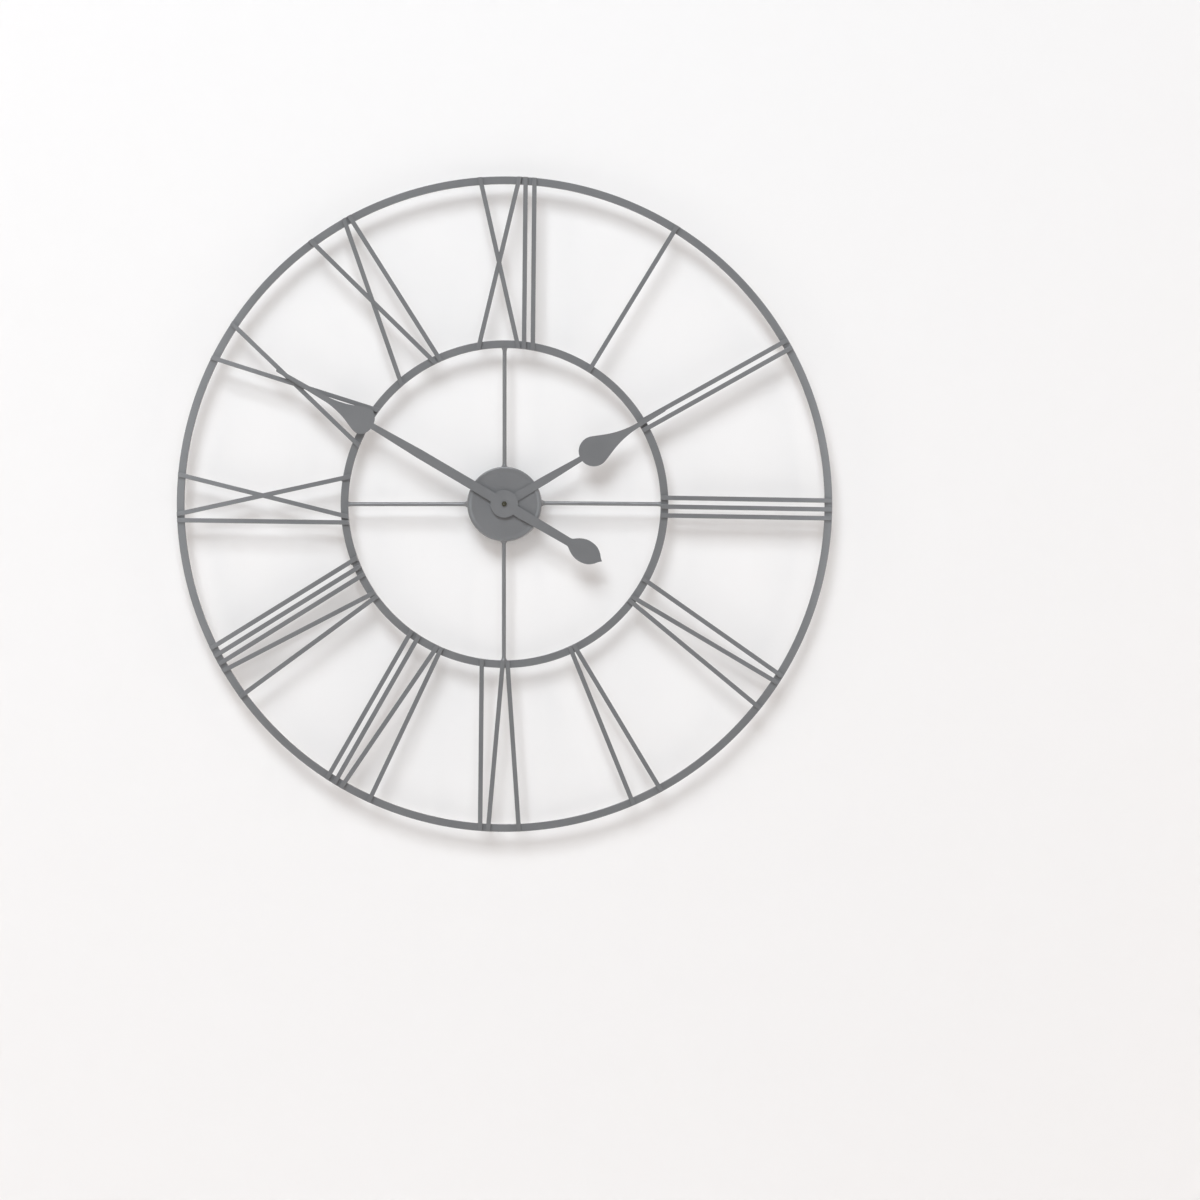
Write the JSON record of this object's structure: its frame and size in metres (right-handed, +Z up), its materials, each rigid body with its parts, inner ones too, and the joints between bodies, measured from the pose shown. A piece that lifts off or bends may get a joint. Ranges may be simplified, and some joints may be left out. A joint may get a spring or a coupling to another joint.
{
  "type": "wall clock",
  "caption": "Large open-work wall clock: Roman numerals of bar welded across two steel rings, a round hub pan with a quartz movement, and leaf-shaped hands.",
  "frame": {"origin": "on the hand axis, halfway between the wall and the tip of the minute shaft, which is the middle of the overall box", "axes": "+Z up towards 12, +X towards 3, +Y into the wall; the dial looks along -Y"},
  "size_m": [0.7999, 0.0344, 0.8],
  "materials": {
    "grey_paint": "satin powder coat",
    "rubber": "matt",
    "brass": "turned",
    "black_plastic": "fine spark texture",
    "white_plastic": "moulded acetal",
    "magnet": "ground",
    "soft_iron": "stamped",
    "copper": "enamelled wire",
    "board": "solder mask",
    "resin": "glossy",
    "nickel": "nickel plate",
    "battery_jacket": "plain printed sleeve"
  },
  "bodies": {
    "frame": {"outer_ring": "grey_paint", "inner_ring": "grey_paint", "numeral_1": "grey_paint", "numeral_2": "grey_paint", "numeral_3": "grey_paint", "numeral_4": "grey_paint", "numeral_5": "grey_paint", "numeral_6": "grey_paint", "numeral_7": "grey_paint", "numeral_8": "grey_paint", "numeral_9": "grey_paint", "numeral_10": "grey_paint", "numeral_11": "grey_paint", "numeral_12": "grey_paint", "spoke_12": "grey_paint", "spoke_3": "grey_paint", "spoke_6": "grey_paint", "spoke_9": "grey_paint", "hub_pan": "grey_paint", "hanger_plate": "grey_paint", "rubber_gasket": "rubber", "brass_washer": "brass", "neck_nut": "brass", "movement_case": "black_plastic", "back_cover": "black_plastic", "train_bridge": "white_plastic", "positive_contact": "nickel", "negative_spring": "nickel", "circuit_board": "board", "chip_blob": "resin", "quartz_crystal": "nickel", "stator": "soft_iron", "coil_core": "soft_iron", "coil_bobbin": "white_plastic", "coil_winding": "copper"},
    "minute": {"minute_arbor": "brass", "minute_hand_bush": "brass", "minute_hand": "grey_paint", "hand_nut": "brass"},
    "hour": {"hour_wheel": "white_plastic", "hour_hand_bush": "brass", "hour_hand": "grey_paint"},
    "motion": {"motion_wheel": "white_plastic", "setting_knob": "black_plastic"},
    "third": {"third_wheel": "white_plastic"},
    "second": {"second_wheel": "white_plastic"},
    "step": {"step_wheel": "white_plastic"},
    "rotor": {"rotor_pinion": "white_plastic", "rotor_magnet": "magnet"},
    "battery_cell": {"battery": "battery_jacket"}
  },
  "joints": [
    {"name": "minute_spin", "type": "hinge", "parent": "frame", "child": "minute", "pos_m": [0, 0, 0], "axis": [0, 1, 0], "continuous": true},
    {"name": "hour_spin", "type": "hinge", "parent": "frame", "child": "hour", "pos_m": [0, 0, 0], "axis": [0, 1, 0], "continuous": true},
    {"name": "setting_spin", "type": "hinge", "parent": "frame", "child": "motion", "pos_m": [-0.0096, 0, 0], "axis": [0, 1, 0], "continuous": true},
    {"name": "third_spin", "type": "hinge", "parent": "frame", "child": "third", "pos_m": [0.00918, 0, 0], "axis": [0, 1, 0], "continuous": true},
    {"name": "second_spin", "type": "hinge", "parent": "frame", "child": "second", "pos_m": [0.00768, 0, 0.00851], "axis": [0, 1, 0], "continuous": true},
    {"name": "step_spin", "type": "hinge", "parent": "frame", "child": "step", "pos_m": [0.00186, 0, 0.01187], "axis": [0, 1, 0], "continuous": true},
    {"name": "rotor_spin", "type": "hinge", "parent": "frame", "child": "rotor", "pos_m": [-0.00288, 0, 0.01359], "axis": [0, 1, 0], "continuous": true},
    {"name": "battery_out", "type": "slide", "parent": "frame", "child": "battery_cell", "axis": [0, 1, 0], "range_m": [0, 0.02]}
  ],
  "couplings": [
    {"joint": "hour_spin", "follows": "minute_spin", "ratio": 0.083333},
    {"joint": "setting_spin", "follows": "minute_spin", "ratio": -0.33333},
    {"joint": "third_spin", "follows": "minute_spin", "ratio": -7.5},
    {"joint": "second_spin", "follows": "minute_spin", "ratio": 60},
    {"joint": "step_spin", "follows": "minute_spin", "ratio": -300},
    {"joint": "rotor_spin", "follows": "minute_spin", "ratio": 1800}
  ]
}
